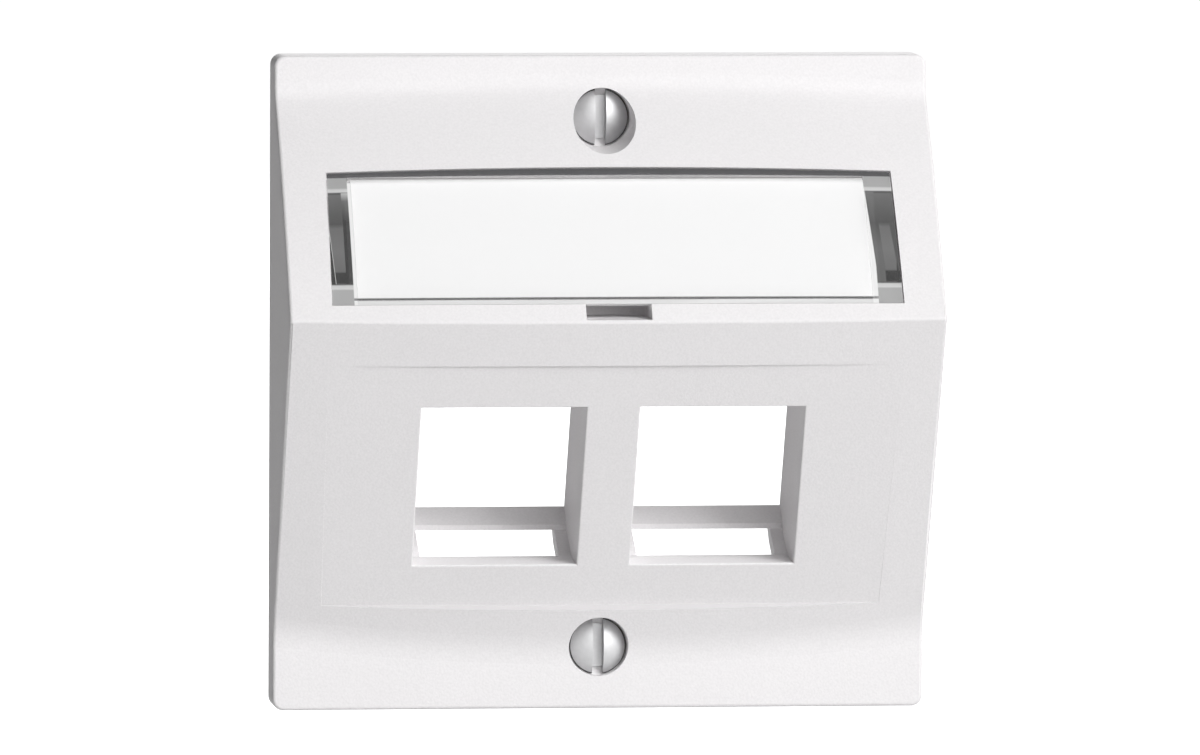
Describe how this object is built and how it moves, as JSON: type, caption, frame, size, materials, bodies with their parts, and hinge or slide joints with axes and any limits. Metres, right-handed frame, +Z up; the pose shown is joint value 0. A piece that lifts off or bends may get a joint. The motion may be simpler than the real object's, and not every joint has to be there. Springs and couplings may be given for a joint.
{
  "type": "ethernet socket",
  "caption": "Slanted wall outlet plate with snap-in network jack openings, a clear window over a label card, and slotted fixing screws.",
  "frame": {"origin": "centre of the plate's back face, midway between the two fixing screws, in the plane of the wall box", "axes": "+X along the plate, +Y into the wall along the fixing screws, +Z up"},
  "size_m": [0.06, 0.0321, 0.06],
  "materials": {
    "white_plastic": "satin",
    "clear_plastic": "gloss",
    "label_paper": "matte",
    "screw_steel": "satin"
  },
  "bodies": {
    "plate": {"front_plate": "white_plastic", "label_card": "label_paper"},
    "window": {"label_window": "clear_plastic"},
    "upper_fixing": {"upper_screw": "screw_steel"},
    "lower_fixing": {"lower_screw": "screw_steel"}
  },
  "joints": [
    {"name": "window_lift", "type": "slide", "parent": "plate", "child": "window", "axis": [0, -0.8122, 0.5834], "range_m": [0, 0.012]},
    {"name": "upper_screw_turn", "type": "hinge", "parent": "plate", "child": "upper_fixing", "pos_m": [0, 0, 0.0243], "axis": [0, 1, 0], "continuous": true},
    {"name": "lower_screw_turn", "type": "hinge", "parent": "plate", "child": "lower_fixing", "pos_m": [0, 0, -0.0243], "axis": [0, 1, 0], "continuous": true}
  ]
}
